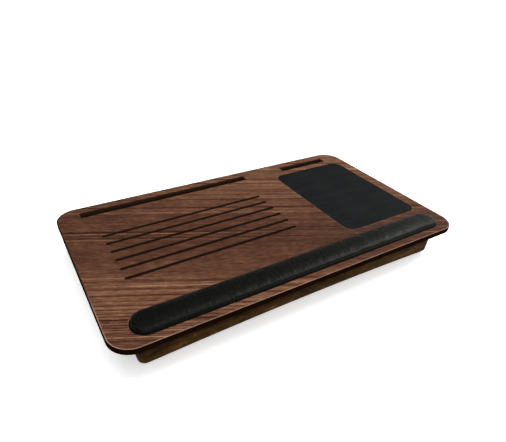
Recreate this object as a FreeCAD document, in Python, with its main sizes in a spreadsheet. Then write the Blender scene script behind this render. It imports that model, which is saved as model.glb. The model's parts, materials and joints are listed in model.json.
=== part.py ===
import FreeCAD, Part
import math
import os
import Sketcher
from FreeCAD import Placement, Rotation, Vector

# Desk stand with a drawer, in millimetres.
# Origin: middle of the footprint, on the surface that the feet stand on.
# +X is to the right of a person at the stand, +Y is away from them, +Z is up.

SIZES = {
    # Top board: a core with a veneer skin, and a band around its edge
    "board_width": 600,
    "board_depth": 350,
    "board_corner": 33.5,
    "core_thickness": 7.2,
    "veneer_thickness": 0.6,
    "band_thickness": 2.2,
    "band_arris": 0.7,
    # Two holding slots through the board at its back: a long one at the left, a short one at the right
    "slot_width": 16.4,
    "slot_corner": 2,
    "slot_centre_from_back": 26.4,
    "tablet_slot_from_left": 38,
    "phone_slot_from_right": 42,
    "phone_slot_length": 111,
    "slots_apart": 88,
    # Cooling slots
    "vent_count": 6,
    "vent_width": 6,
    "vent_pitch": 23.4,
    "vent_from_left": 53.5,
    "vent_from_pad": 71,
    "first_vent_from_front": 128,
    # Mouse pad, let into the board
    "pad_length": 161,
    "pad_corner": 17,
    "pad_from_right": 23,
    "pad_from_front": 73,
    "pad_from_slot": 15.4,
    "pad_thickness": 1.6,
    "pad_joint": 0.7,
    "pad_recess": 2.2,
    # Wrist rest: a backing sheet, a foam crown and a leatherette cover
    "rest_width": 43,
    "rest_height": 8,
    "rest_shoulder": 6,
    "rest_edge": 0.5,
    "rest_from_front": 14.4,
    "rest_from_left": 30.6,
    "rest_from_right": 25.2,
    "rest_recess": 2.4,
    "rest_joint": 0.4,
    "backing_thickness": 1.6,
    "cover_thickness": 1.1,
    # Case under the board
    "foot_height": 2,
    "foot_radius": 11,
    "foot_from_end": 46.5,
    "foot_from_edge": 32,
    "case_height": 50.7,
    "case_corner": 10.5,
    "case_lower_round": 7,
    "case_lean": 7.5,
    "case_from_front": 21.5,
    "case_from_back": 4,
    "case_from_side": 27,
    "side_thickness": 22.5,
    "back_thickness": 10,
    "bottom_thickness": 4,
    "bottom_rebate": 6,
    "panel_fit": 0.2,
    # Cleats in the upper corners, which tie the sides to the board
    "cleat_width": 8.5,
    "cleat_height": 9,
    "cleat_from_front": 4,
    # Rail under the holding slots, grooved to carry what stands in them
    "rail_height": 14,
    "rail_groove": 12,
    "rail_front_wall": 7.4,
    "rail_back_gap": 0.3,
    # Drawer, and how much of its length stays under the board when it is full out
    "drawer_hold": 77,
    "front_thickness": 16,
    "front_top_gap": 1.5,
    "front_back_gap": 0.5,
    "front_arch": 4.9,
    "front_arch_from_side": 24,
    "pull_length": 112,
    "pull_depth": 14,
    "box_side_gap": 9.5,
    "box_board": 9,
    "box_top_drop": 8.7,
    "box_back_drop": 2.2,
    "box_under_gap": 2,
    "box_rail_gap": 3,
    "notch_length": 140,
    "notch_depth": 18,
    "drawer_bottom_thickness": 3,
    "drawer_bottom_lift": 4,
    "drawer_bottom_groove": 4,
    "liner_thickness": 1,
    "liner_joint": 0.5,
    "divider_thickness": 5,
    "divider_dado": 3,
    "divider_drop": 2,
    "divider_from_right": 150,
    # Runners and stops
    "runner_height": 8,
    "runner_engagement": 4.5,
    "runner_lift": 15,
    "runner_setback": 4,
    "groove_depth": 5,
    "slide_gap": 0.3,
    "stop_length": 22,
    "stop_width": 12,
    "stop_height": 7,
    "stop_from_middle": 80,
    # Catch: magnets in the case, steel discs in the drawer front
    "magnet_radius": 4,
    "magnet_depth": 3,
    "disc_radius": 5,
    "disc_thickness": 1,
    # Screws and dowels
    "screw_radius": 1.5,
    "screw_head_radius": 2.9,
    "screw_head_height": 1.7,
    "screw_fit": 0.08,
    "screw_bite": 4,
    "wood_screw_bite": 9,
    "dowel_radius": 3,
    "dowel_length": 20,
    # How far a cut runs past the faces that it goes through
    "overrun": 1,
}

# Where repeated fasteners sit, as shares of the piece that they hold
CLEAT_SCREW_SHARES = (0.08, 0.5, 0.9)
RUNNER_SCREW_SHARES = (0.1, 0.5, 0.9)
BOTTOM_SCREW_SHARES = (0.12, 0.5, 0.88)
RAIL_SCREW_SHARES = (0.06, 0.35, 0.7, 0.95)
BOX_LOW_SCREW_SHARE = 0.72
BOX_HIGH_SCREW_SHARE = 0.6
MIDDLE_SHARE = 0.5
FRONT_SCREW_SHARES = (0.06, 0.3, 0.7, 0.94)
DOWEL_SHARES = (0.35, 0.72)

UP = Rotation()
RIGHT = Rotation(Vector(0, 1, 0), 90)
LEFT = Rotation(Vector(0, 1, 0), -90)
BACK = Rotation(Vector(1, 0, 0), -90)
FRONT = Rotation(Vector(1, 0, 0), 90)

doc = FreeCAD.newDocument("laptop_stand")
sheet = doc.addObject("Spreadsheet::Sheet", "sizes")
for row, (alias, number) in enumerate(SIZES.items(), start=1):
    sheet.set(f"A{row}", alias)
    sheet.set(f"B{row}", str(number))
    sheet.setAlias(f"B{row}", alias)
doc.recompute()

nodes = []


class Size:
    """A length of the sheet, or one worked out from others: a formula and its value."""

    def __init__(self, formula, value):
        self.formula = formula
        self.value = value

    def __add__(self, other):
        other = as_size(other)
        return Size(f"({self.formula} + {other.formula})", self.value + other.value)

    def __sub__(self, other):
        other = as_size(other)
        return Size(f"({self.formula} - {other.formula})", self.value - other.value)

    def __mul__(self, other):
        other = as_size(other)
        return Size(f"({self.formula} * {other.formula})", self.value * other.value)

    def __truediv__(self, other):
        other = as_size(other)
        return Size(f"({self.formula} / {other.formula})", self.value / other.value)

    def __neg__(self):
        return Size(f"(-1 * {self.formula})", -self.value)


def as_size(thing):
    """Lets a plain share or count stand in a formula."""
    return thing if isinstance(thing, Size) else Size(repr(float(thing)), float(thing))


class Cells:
    """The sheet's cells by name: cell.board_width."""

    def __getattr__(self, alias):
        return Size(f"sizes.{alias}", float(sheet.get(alias)))


cell = Cells()
ZERO = as_size(0)


def bind(thing, name, size):
    """Ties a property to its formula, so that it follows the sheet."""
    thing.setExpression(name, as_size(size).formula)


def place(thing, point, turn=UP):
    """Puts a thing at a point that follows the sheet."""
    thing.Placement = Placement(Vector(*(as_size(value).value for value in point)), turn)
    for axis, value in zip("xyz", point):
        bind(thing, f"Placement.Base.{axis}", value)


def keep(thing, label):
    """Names a finished piece and lists it for export."""
    thing.Label = label
    nodes.append(thing)
    return thing


def block(name, x, y, z):
    """A board between its low and high face along each axis."""
    box = doc.addObject("Part::Box", name)
    for prop, (low, high) in zip(("Length", "Width", "Height"), (x, y, z)):
        bind(box, prop, high - low)
    place(box, (x[0], y[0], z[0]))
    return box


def rod(name, radius, length, start, turn=UP):
    """A round bar from its start point, along the way that it is turned."""
    bar = doc.addObject("Part::Cylinder", name)
    bind(bar, "Radius", radius)
    bind(bar, "Height", length)
    place(bar, start, turn)
    return bar


def carve(label, base, tools):
    """Cuts tools out of a piece, one after another, and gives what is left."""
    for number, tool in enumerate(tools):
        cut = doc.addObject("Part::Cut", f"{label}_cut_{number}")
        cut.Base = base
        cut.Tool = tool
        base = cut
    return base


def group(name, members):
    """Separate solids as one node."""
    together = doc.addObject("Part::Compound", name)
    together.Links = members
    return together


def screw(name, start, turn, length, extra=ZERO):
    """A countersunk screw with its head at the start point. Extra makes it into its own hole."""
    shank = rod(f"{name}_shank", cell.screw_radius + extra, length + extra, start, turn)
    head = doc.addObject("Part::Cone", f"{name}_head")
    bind(head, "Radius1", cell.screw_head_radius + extra)
    bind(head, "Radius2", cell.screw_radius + extra)
    bind(head, "Height", cell.screw_head_height)
    place(head, start, turn)
    whole = doc.addObject("Part::Fuse", name)
    whole.Base = shank
    whole.Tool = head
    return whole


def screw_set(label, starts, turn, length):
    """One kind of screw at several places: the screws as a node, and their holes to cut."""
    screws = [screw(f"{label}_{n}", start, turn, length) for n, start in enumerate(starts)]
    holes = [screw(f"{label}_hole_{n}", start, turn, length, cell.screw_fit)
             for n, start in enumerate(starts)]
    keep(group(label, screws), label)
    return group(f"{label}_holes", holes)


def along(low, high, share):
    """A place between two others."""
    return low + (high - low) * share


def origin_feature(body, role):
    """A plane or an axis of the body's own origin."""
    return next(item for item in body.Origin.OriginFeatures if item.Role == role)


def new_sketch(body, name, x, y, z, role="XY_Plane"):
    """A sketch on the body's own plane, moved to a point that follows the sheet."""
    sketch = body.newObject("Sketcher::SketchObject", name)
    sketch.AttachmentSupport = (origin_feature(body, role), [""])
    sketch.MapMode = "FlatFace"
    for axis, value in zip("xyz", (x, y, z)):
        bind(sketch, f"AttachmentOffset.Base.{axis}", value)
    return sketch


def constrain(sketch, name, size, *items):
    """A named measure of a sketch, tied to its formula."""
    index = sketch.addConstraint(Sketcher.Constraint(*items, size.value))
    sketch.renameConstraint(index, name)
    bind(sketch, f"Constraints.{name}", size)


def arc_piece(centre, radius, first_quarter, quarters):
    """An arc about a centre, over so many quarter turns from the first one on."""
    circle = Part.Circle(centre, Vector(0, 0, 1), radius)
    quarter = math.pi / 2
    return Part.ArcOfCircle(circle, quarter * first_quarter, quarter * (first_quarter + quarters))


def rounded_rectangle(body, name, x, y, z, radius):
    """A rectangle with round corners, between its low and high sides, at a height."""
    width = x[1] - x[0]
    depth = y[1] - y[0]
    sketch = new_sketch(body, name, x[0], y[0], z)
    wide, deep, round_ = width.value, depth.value, radius.value
    corners = ((wide - round_, round_, 3), (wide - round_, deep - round_, 0),
               (round_, deep - round_, 1), (round_, round_, 2))
    runs = (((round_, 0), (wide - round_, 0)), ((wide, round_), (wide, deep - round_)),
            ((wide - round_, deep), (round_, deep)), ((0, deep - round_), (0, round_)))
    for (start, end), (across, up, quarter) in zip(runs, corners):
        sketch.addGeometry(Part.LineSegment(Vector(*start, 0), Vector(*end, 0)))
        sketch.addGeometry(arc_piece(Vector(across, up, 0), round_, quarter, 1))
    for line in range(0, 8, 2):
        sketch.addConstraint(Sketcher.Constraint("Tangent", line, 2, line + 1, 1))
        sketch.addConstraint(Sketcher.Constraint("Tangent", line + 1, 2, (line + 2) % 8, 1))
    for line, way in ((0, "Horizontal"), (2, "Vertical"), (4, "Horizontal"), (6, "Vertical")):
        sketch.addConstraint(Sketcher.Constraint(way, line))
    for arc in (3, 5, 7):
        sketch.addConstraint(Sketcher.Constraint("Equal", 1, arc))
    sketch.addConstraint(Sketcher.Constraint("PointOnObject", 0, 1, -1))
    sketch.addConstraint(Sketcher.Constraint("PointOnObject", 6, 1, -2))
    constrain(sketch, "corner", radius, "Radius", 1)
    constrain(sketch, "wide", width, "DistanceX", 6, 1, 2, 1)
    constrain(sketch, "deep", depth, "DistanceY", 0, 1, 4, 1)
    return sketch


def stadium(body, name, x, centre_y, width, z):
    """A slot outline with half-round ends, between its left and right end."""
    radius = width / 2
    straight = x[1] - x[0] - width
    sketch = new_sketch(body, name, x[0] + radius, centre_y, z)
    long_, round_ = straight.value, radius.value
    sketch.addGeometry(Part.LineSegment(Vector(0, -round_, 0), Vector(long_, -round_, 0)))
    sketch.addGeometry(arc_piece(Vector(long_, 0, 0), round_, 3, 2))
    sketch.addGeometry(Part.LineSegment(Vector(long_, round_, 0), Vector(0, round_, 0)))
    sketch.addGeometry(arc_piece(Vector(0, 0, 0), round_, 1, 2))
    for item in range(4):
        sketch.addConstraint(Sketcher.Constraint("Tangent", item, 2, (item + 1) % 4, 1))
    sketch.addConstraint(Sketcher.Constraint("Horizontal", 0))
    sketch.addConstraint(Sketcher.Constraint("Equal", 1, 3))
    sketch.addConstraint(Sketcher.Constraint("Coincident", 3, 3, -1, 1))
    constrain(sketch, "round", radius, "Radius", 1)
    constrain(sketch, "straight", straight, "DistanceX", 3, 3, 1, 3)
    return sketch


def pad(body, sketch, height):
    """Raises a sketch into a solid."""
    feature = body.newObject("PartDesign::Pad", f"{sketch.Name}_pad")
    feature.Profile = sketch
    bind(feature, "Length", height)
    doc.recompute()
    return feature


def pocket(body, sketch, depth):
    """Cuts a sketch down into the body, and makes sure that it did cut."""
    before = body.Shape.Volume
    feature = body.newObject("PartDesign::Pocket", f"{sketch.Name}_pocket")
    feature.Profile = sketch
    feature.Reversed = False
    bind(feature, "Length", depth)
    doc.recompute()
    if not body.Shape.Volume < before:
        raise RuntimeError(f"{feature.Name} cut nothing")
    return feature


def row_of(body, feature, count, pitch):
    """Repeats a feature towards the back, a pitch apart."""
    pattern = body.newObject("PartDesign::LinearPattern", f"{feature.Name}_row")
    pattern.Originals = [feature]
    pattern.Direction = (origin_feature(body, "Y_Axis"), [""])
    bind(pattern, "Length", pitch * (count - 1))
    bind(pattern, "Occurrences", count)
    body.Tip = pattern
    doc.recompute()
    return pattern


def dress_edges(body, kind, edges, size):
    """Rounds or bevels the edges of the body's shape that a test picks."""
    base = body.Tip
    names = [f"Edge{n}" for n, edge in enumerate(base.Shape.Edges, start=1) if edges(edge)]
    feature = body.newObject(f"PartDesign::{kind}", f"{body.Name}_{kind.lower()}")
    feature.Base = (base, names)
    bind(feature, "Radius" if kind == "Fillet" else "Size", size)
    doc.recompute()
    return feature


# Places that several pieces share
board_right = cell.board_width / 2
board_left = -board_right
board_back = cell.board_depth / 2
board_front = -board_back
case_low = cell.foot_height
underside = case_low + cell.case_height
core_top = underside + cell.core_thickness
board_top = core_top + cell.veneer_thickness

slot_y = board_back - cell.slot_centre_from_back
slot_front = slot_y - cell.slot_width / 2
phone_right = board_right - cell.phone_slot_from_right
phone_slot = (phone_right - cell.phone_slot_length, phone_right)
tablet_slot = (board_left + cell.tablet_slot_from_left, phone_slot[0] - cell.slots_apart)

pad_right = board_right - cell.pad_from_right
pad_left = pad_right - cell.pad_length
pad_front = board_front + cell.pad_from_front
pad_back = slot_front - cell.pad_from_slot
vent_slot = (board_left + cell.vent_from_left, pad_left - cell.vent_from_pad)
rest_y = board_front + cell.rest_from_front + cell.rest_width / 2
rest_left = board_left + cell.rest_from_left
rest_right = board_right - cell.rest_from_right

case_right = board_right - cell.case_from_side
case_left = -case_right
case_front = board_front + cell.case_from_front
case_back = board_back - cell.case_from_back
inner_right = case_right - cell.side_thickness
inner_left = -inner_right
inner_back = case_back - cell.back_thickness
bottom_top = case_low + cell.bottom_thickness

front_back = case_front + cell.front_thickness
case_mouth = front_back + cell.front_back_gap
front_top = underside - cell.front_top_gap

rail_front = slot_front - cell.rail_front_wall
rail_back = inner_back - cell.rail_back_gap
rail_low = underside - cell.rail_height

box_right = inner_right - cell.box_side_gap
box_left = -box_right
box_low = bottom_top + cell.box_under_gap
box_top = underside - cell.box_top_drop
box_back = rail_front - cell.box_rail_gap
box_inner_right = box_right - cell.box_board
box_inner_left = -box_inner_right
box_inner_front = front_back + cell.box_board
box_inner_back = box_back - cell.box_board
tray_low = box_low + cell.drawer_bottom_lift
tray_top = tray_low + cell.drawer_bottom_thickness
runner_low = box_low + cell.runner_lift
runner_top = runner_low + cell.runner_height
held_back = case_mouth + cell.drawer_hold
drawer_travel = box_back - held_back
stop_back = held_back - cell.box_board - cell.slide_gap
stop_low = underside - cell.stop_height


def slot_outline(body, name, ends, z):
    """One of the two holding slots: square ends with small round corners."""
    half = cell.slot_width / 2
    return rounded_rectangle(body, name, ends, (slot_y - half, slot_y + half), z, cell.slot_corner)


def cut_slots(body, top, depth):
    """The two holding slots and the row of cooling slots, right through a layer."""
    above = top + cell.overrun
    through = depth + cell.overrun * 2
    for name, ends in (("tablet_slot", tablet_slot), ("phone_slot", phone_slot)):
        pocket(body, slot_outline(body, f"{body.Name}_{name}", ends, above), through)
    first_vent = board_front + cell.first_vent_from_front
    outline = stadium(body, f"{body.Name}_vent", vent_slot, first_vent, cell.vent_width, above)
    row_of(body, pocket(body, outline, through), cell.vent_count, cell.vent_pitch)


def cut_recesses(body, top, pad_depth, rest_depth):
    """The hollows for the mouse pad and the wrist rest, down from the top."""
    above = top + cell.overrun
    joint = cell.pad_joint
    outline = rounded_rectangle(body, f"{body.Name}_pad_recess", (pad_left - joint, pad_right + joint),
                                (pad_front - joint, pad_back + joint), above, cell.pad_corner + joint)
    pocket(body, outline, pad_depth + cell.overrun)
    joint = cell.rest_joint
    outline = stadium(body, f"{body.Name}_rest_recess", (rest_left - joint, rest_right + joint), rest_y,
                      cell.rest_width + joint * 2, above)
    pocket(body, outline, rest_depth + cell.overrun)


def board_layer(name, low, height):
    """A layer of the board inside the edge band."""
    body = doc.addObject("PartDesign::Body", name)
    inset = cell.band_thickness
    outline = rounded_rectangle(body, f"{name}_outline", (board_left + inset, board_right - inset),
                                (board_front + inset, board_back - inset), low, cell.board_corner - inset)
    pad(body, outline, height)
    cut_slots(body, low + height, height)
    return body


def make_top_board(holes):
    """The core, with the slots, the two recesses and the pilot holes of the screws below it."""
    body = board_layer("top_board_body", underside, cell.core_thickness)
    cut_recesses(body, core_top, cell.pad_recess - cell.veneer_thickness,
                 cell.rest_recess - cell.veneer_thickness)
    keep(carve("top_board", body, holes), "top_board")


def make_top_veneer():
    """The walnut skin, open over the slots and the recesses."""
    body = board_layer("top_veneer_body", core_top, cell.veneer_thickness)
    cut_recesses(body, board_top, cell.veneer_thickness + cell.overrun, cell.veneer_thickness + cell.overrun)
    keep(body, "top_veneer")


def make_edge_band():
    """A thin band around the board, flush with the veneer, its upper arris bevelled."""
    body = doc.addObject("PartDesign::Body", "edge_band_body")
    height = board_top - underside
    outline = rounded_rectangle(body, "band_outside", (board_left, board_right), (board_front, board_back),
                                underside, cell.board_corner)
    pad(body, outline, height)
    inset = cell.band_thickness
    hole = rounded_rectangle(body, "band_inside", (board_left + inset, board_right - inset),
                             (board_front + inset, board_back - inset), board_top + cell.overrun,
                             cell.board_corner - inset)
    pocket(body, hole, height + cell.overrun * 2)
    high = board_top.value
    reach = cell.overrun.value / 2

    def outer_top(edge):
        box = edge.BoundBox
        band = body.Shape.BoundBox
        across = min(band.XMax - box.XMax, box.XMin - band.XMin)
        along_ = min(band.YMax - box.YMax, box.YMin - band.YMin)
        return abs(box.ZMin - high) < reach and min(across, along_) < reach

    dress_edges(body, "Chamfer", outer_top, cell.band_arris)
    keep(body, "edge_band")


def make_mouse_pad():
    """A flat leatherette pad in its recess."""
    body = doc.addObject("PartDesign::Body", "mouse_pad_body")
    outline = rounded_rectangle(body, "mouse_pad_outline", (pad_left, pad_right), (pad_front, pad_back),
                                board_top - cell.pad_recess, cell.pad_corner)
    pad(body, outline, cell.pad_thickness)
    keep(body, "mouse_pad")


def crowned_bar(name, ends, half_width, low, edge_height, height, shoulder):
    """A stadium with a crowned top: a half section swept along, and turned about each end."""
    reach = half_width - shoulder
    rise = height - edge_height
    crown = (reach * reach + rise * rise - shoulder * shoulder) / ((rise - shoulder) * 2)
    sketch = doc.addObject("Sketcher::SketchObject", f"{name}_section")
    wide, tall, step = half_width.value, height.value, edge_height.value
    small, large = shoulder.value, crown.value
    hub = Vector(wide - small, step, 0)
    peak = Vector(0, tall - large, 0)
    meet = peak + (hub - peak).normalize() * large
    sketch.addGeometry(Part.LineSegment(Vector(0, 0, 0), Vector(wide, 0, 0)))
    sketch.addGeometry(Part.LineSegment(Vector(wide, 0, 0), Vector(wide, step, 0)))
    bend = (hub - peak).normalize() + Vector(1, 0, 0)
    sketch.addGeometry(Part.Arc(Vector(wide, step, 0), hub + bend.normalize() * small, meet))
    top = (meet - peak).normalize() + Vector(0, 1, 0)
    sketch.addGeometry(Part.Arc(meet, peak + top.normalize() * large, Vector(0, tall, 0)))
    sketch.addGeometry(Part.LineSegment(Vector(0, tall, 0), Vector(0, 0, 0)))
    sketch.addConstraint(Sketcher.Constraint("Coincident", 0, 1, -1, 1))
    sketch.addConstraint(Sketcher.Constraint("Coincident", 0, 2, 1, 1))
    sketch.addConstraint(Sketcher.Constraint("Tangent", 1, 2, 2, 1))
    sketch.addConstraint(Sketcher.Constraint("Tangent", 2, 2, 3, 1))
    sketch.addConstraint(Sketcher.Constraint("Coincident", 3, 2, 4, 1))
    sketch.addConstraint(Sketcher.Constraint("Coincident", 4, 2, -1, 1))
    sketch.addConstraint(Sketcher.Constraint("Horizontal", 0))
    sketch.addConstraint(Sketcher.Constraint("Vertical", 1))
    sketch.addConstraint(Sketcher.Constraint("Vertical", 4))
    sketch.addConstraint(Sketcher.Constraint("PointOnObject", 3, 3, -2))
    constrain(sketch, "half_width", half_width, "DistanceX", 0, 1, 0, 2)
    constrain(sketch, "edge_height", edge_height, "DistanceY", 1, 1, 1, 2)
    constrain(sketch, "height", height, "DistanceY", 4, 2, 4, 1)
    constrain(sketch, "shoulder", shoulder, "Radius", 2)
    doc.recompute()
    left = ends[0] + half_width
    right = ends[1] - half_width
    pieces = []
    for side, end, turn in (("near", left, Rotation(90, 0, 90)), ("far", right, Rotation(-90, 0, 90))):
        copy = doc.copyObject(sketch)
        place(copy, (end, rest_y, low), turn)
        bar = doc.addObject("Part::Extrusion", f"{name}_{side}")
        bar.Base = copy
        bar.DirMode = "Normal"
        bar.Solid = True
        bind(bar, "LengthFwd", right - left)
        pieces.append(bar)
        end_round = doc.addObject("Part::Revolution", f"{name}_{side}_end")
        end_round.Source = copy
        end_round.Axis = Vector(0, 0, 1)
        end_round.Solid = True
        end_round.Angle = 180
        bind(end_round, "Base.x", end)
        bind(end_round, "Base.y", rest_y)
        pieces.append(end_round)
    whole = doc.addObject("Part::MultiFuse", name)
    whole.Shapes = pieces
    whole.Refine = True
    doc.recompute()
    return whole


def make_wrist_rest():
    """The padded rest: a stiff backing sheet, a foam crown, and the cover drawn over both."""
    low = board_top - cell.rest_recess
    half = cell.rest_width / 2
    height = cell.rest_recess + cell.rest_height
    skin = cell.cover_thickness
    ends = (rest_left, rest_right)
    inner_ends = (rest_left + skin, rest_right - skin)
    outside = crowned_bar("rest_outside", ends, half, low, cell.rest_recess + cell.rest_edge, height,
                          cell.rest_shoulder)
    inside = crowned_bar("rest_inside", inner_ends, half - skin, low, cell.rest_recess + cell.rest_edge,
                         height - skin, cell.rest_shoulder - skin)
    keep(carve("wrist_rest_cover", outside, [inside]), "wrist_rest_cover")
    backing = doc.addObject("PartDesign::Body", "backing_body")
    outline = stadium(backing, "backing_outline", inner_ends, rest_y, cell.rest_width - skin * 2, low)
    pad(backing, outline, cell.backing_thickness)
    keep(backing, "wrist_rest_backing")
    foam = crowned_bar("rest_foam", inner_ends, half - skin, low, cell.rest_recess + cell.rest_edge,
                       height - skin, cell.rest_shoulder - skin)
    under = block("foam_underside", ends, (rest_y - half, rest_y + half),
                  (low - cell.overrun, low + cell.backing_thickness))
    keep(carve("wrist_rest_foam", foam, [under]), "wrist_rest_foam")


def make_device_rail(holes):
    """The bar under the holding slots. Its grooves carry on from them, and end above its underside."""
    bar = block("rail_bar", (inner_left + cell.panel_fit, inner_right - cell.panel_fit),
                (rail_front, rail_back), (rail_low, underside))
    grooves = []
    for name, ends in (("tablet_groove", tablet_slot), ("phone_groove", phone_slot)):
        body = doc.addObject("PartDesign::Body", name)
        outline = slot_outline(body, f"{name}_outline", ends, underside - cell.rail_groove)
        pad(body, outline, cell.rail_groove + cell.overrun)
        grooves.append(body)
    keep(carve("device_rail", bar, grooves + holes), "device_rail")


def leaning_block(body, name):
    """The case's block, from its foot to the board: the sides lean in towards the bottom."""
    sketch = new_sketch(body, f"{name}_front_view", ZERO, case_low, -case_back, "XZ_Plane")
    foot_width = (case_right - cell.case_lean) * 2
    top_width = case_right * 2
    tall = underside - case_low
    half_foot, half_top, height = foot_width.value / 2, top_width.value / 2, tall.value
    points = [(-half_foot, 0), (half_foot, 0), (half_top, height), (-half_top, height)]
    for start, end in zip(points, points[1:] + points[:1]):
        sketch.addGeometry(Part.LineSegment(Vector(*start, 0), Vector(*end, 0)))
    for line in range(4):
        sketch.addConstraint(Sketcher.Constraint("Coincident", line, 2, (line + 1) % 4, 1))
    for line in (0, 2):
        sketch.addConstraint(Sketcher.Constraint("Symmetric", line, 1, line, 2, -2))
    sketch.addConstraint(Sketcher.Constraint("PointOnObject", 0, 1, -1))
    constrain(sketch, "foot_width", foot_width, "DistanceX", 0, 1, 0, 2)
    constrain(sketch, "top_width", top_width, "DistanceX", 2, 2, 2, 1)
    constrain(sketch, "tall", tall, "DistanceY", 1, 1, 1, 2)
    pad(body, sketch, case_back - case_front)
    corner_height = height - cell.overrun.value
    dress_edges(body, "Fillet", lambda edge: edge.BoundBox.ZLength > corner_height, cell.case_corner)


def case_form():
    """The outer form of the case, with round corners and a round lower edge."""
    body = doc.addObject("PartDesign::Body", "case_form")
    leaning_block(body, "case")
    low = case_low.value
    reach = cell.overrun.value / 2
    dress_edges(body, "Fillet", lambda edge: edge.BoundBox.ZMax < low + reach, cell.case_lower_round)
    return body


def slice_of(name, form, x, y, z):
    """The part of a form that lies in a box."""
    part = doc.addObject("Part::Common", name)
    part.Base = form
    part.Tool = block(f"{name}_bounds", x, y, z)
    return part


def make_case(form, side_holes, back_holes, bottom_holes, magnets):
    """Two sides, a back between them, and a bottom panel let into the sides."""
    beyond = cell.overrun
    inset = cell.bottom_rebate
    sill = block("bottom_rebate", (inner_left - inset, inner_right + inset),
                 (front_back - beyond, inner_back), (case_low - beyond, bottom_top))
    heights = (case_low - beyond, underside)
    for name, x in (("case_left_side", (case_left - beyond, inner_left)),
                    ("case_right_side", (inner_right, case_right + beyond))):
        side = slice_of(f"{name}_blank", form, x, (case_mouth, case_back + beyond), heights)
        keep(carve(name, side, [sill] + side_holes + [magnets]), name)
    back = slice_of("case_back_blank", form, (inner_left, inner_right), (inner_back, case_back + beyond),
                    heights)
    keep(carve("case_back", back, back_holes), "case_back")
    fit = cell.panel_fit
    bottom = block("bottom_blank", (inner_left - inset + fit, inner_right + inset - fit),
                   (case_mouth, inner_back - fit), (case_low, bottom_top))
    keep(carve("bottom_panel", bottom, bottom_holes), "bottom_panel")


def make_feet():
    """Four rubber discs under the bottom panel's corners."""
    far_x = case_right - cell.foot_from_end
    near_y = case_mouth + cell.foot_from_edge
    far_y = case_back - cell.foot_from_edge
    for name, x, y in (("front_left_foot", -far_x, near_y), ("front_right_foot", far_x, near_y),
                       ("back_left_foot", -far_x, far_y), ("back_right_foot", far_x, far_y)):
        keep(rod(name, cell.foot_radius, cell.foot_height, (x, y, ZERO)), name)


def make_cleats(holes):
    """A strip in each upper corner, screwed up into the board."""
    y = (case_mouth + cell.cleat_from_front, rail_front - cell.rail_back_gap)
    z = (underside - cell.cleat_height, underside)
    for name, x in (("left_cleat", (inner_left, inner_left + cell.cleat_width)),
                    ("right_cleat", (inner_right - cell.cleat_width, inner_right))):
        keep(carve(name, block(f"{name}_bar", x, y, z), holes), name)


def make_runners(holes):
    """A strip on each side of the case, which the drawer's grooved side slides on."""
    y = (case_mouth + cell.runner_setback, rail_front)
    z = (runner_low, runner_top)
    tip = box_right - cell.runner_engagement
    for name, x in (("left_runner", (inner_left, -tip)), ("right_runner", (tip, inner_right))):
        keep(carve(name, block(f"{name}_bar", x, y, z), holes), name)


def make_stops(holes):
    """Two blocks under the board, which the drawer's tall back meets when it is full out."""
    for name, side in (("left_stop", -1), ("right_stop", 1)):
        centre = cell.stop_from_middle * side
        x = (centre - cell.stop_length / 2, centre + cell.stop_length / 2)
        y = (stop_back - cell.stop_width, stop_back)
        keep(carve(name, block(f"{name}_block", x, y, (stop_low, underside)), holes), name)


def make_drawer_front(holes, discs):
    """The shaped front: the base's visible face, with a low arch and a scoop to pull it by."""
    body = doc.addObject("PartDesign::Body", "drawer_front_body")
    leaning_block(body, "front")
    beyond = cell.overrun
    wide = (case_left - beyond, case_right + beyond)
    above = underside + beyond
    behind = rounded_rectangle(body, "front_back_trim", wide, (front_back, case_back + beyond), above,
                               beyond / 2)
    pocket(body, behind, above - case_low + beyond)
    upper = rounded_rectangle(body, "front_top_trim", wide, (case_front - beyond, front_back + beyond), above,
                              beyond / 2)
    pocket(body, upper, above - front_top)
    arch = new_sketch(body, "front_arch", ZERO, case_low, ZERO, "XZ_Plane")
    chord = case_right - cell.front_arch_from_side
    rise = cell.front_arch
    radius = (chord * chord + rise * rise) / (rise * 2)
    ends = (Vector(chord.value, 0, 0), Vector(-chord.value, 0, 0))
    arch.addGeometry(Part.Arc(ends[0], Vector(0, rise.value, 0), ends[1]))
    arch.addGeometry(Part.LineSegment(ends[1], ends[0]))
    arch.addConstraint(Sketcher.Constraint("Coincident", 0, 1, 1, 2))
    arch.addConstraint(Sketcher.Constraint("Coincident", 0, 2, 1, 1))
    arch.addConstraint(Sketcher.Constraint("Symmetric", 1, 1, 1, 2, -1, 1))
    arch.addConstraint(Sketcher.Constraint("Horizontal", 1))
    constrain(arch, "chord", chord * 2, "DistanceX", 1, 1, 1, 2)
    constrain(arch, "radius", radius, "Radius", 0)
    before = body.Shape.Volume
    cut = body.newObject("PartDesign::Pocket", "front_arch_pocket")
    cut.Profile = arch
    cut.Midplane = True
    bind(cut, "Length", cell.board_depth * 2)
    doc.recompute()
    if not body.Shape.Volume < before:
        raise RuntimeError("front_arch_pocket cut nothing")
    low = case_low.value + rise.value
    plane = front_back.value
    reach = beyond.value / 2

    def lower_outer(edge):
        box = edge.BoundBox
        return box.ZMax < low + reach and box.YMin < plane - reach

    dress_edges(body, "Fillet", lower_outer, cell.case_lower_round)
    half = cell.pull_length / 2
    depth = cell.pull_depth
    scoop_radius = (half * half + depth * depth) / (depth * 2)
    scoop = rod("pull_scoop", scoop_radius, cell.front_thickness + beyond * 2,
                (ZERO, case_front - beyond, front_top - depth + scoop_radius), BACK)
    keep(carve("drawer_front", body, [scoop, discs] + holes), "drawer_front")


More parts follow.
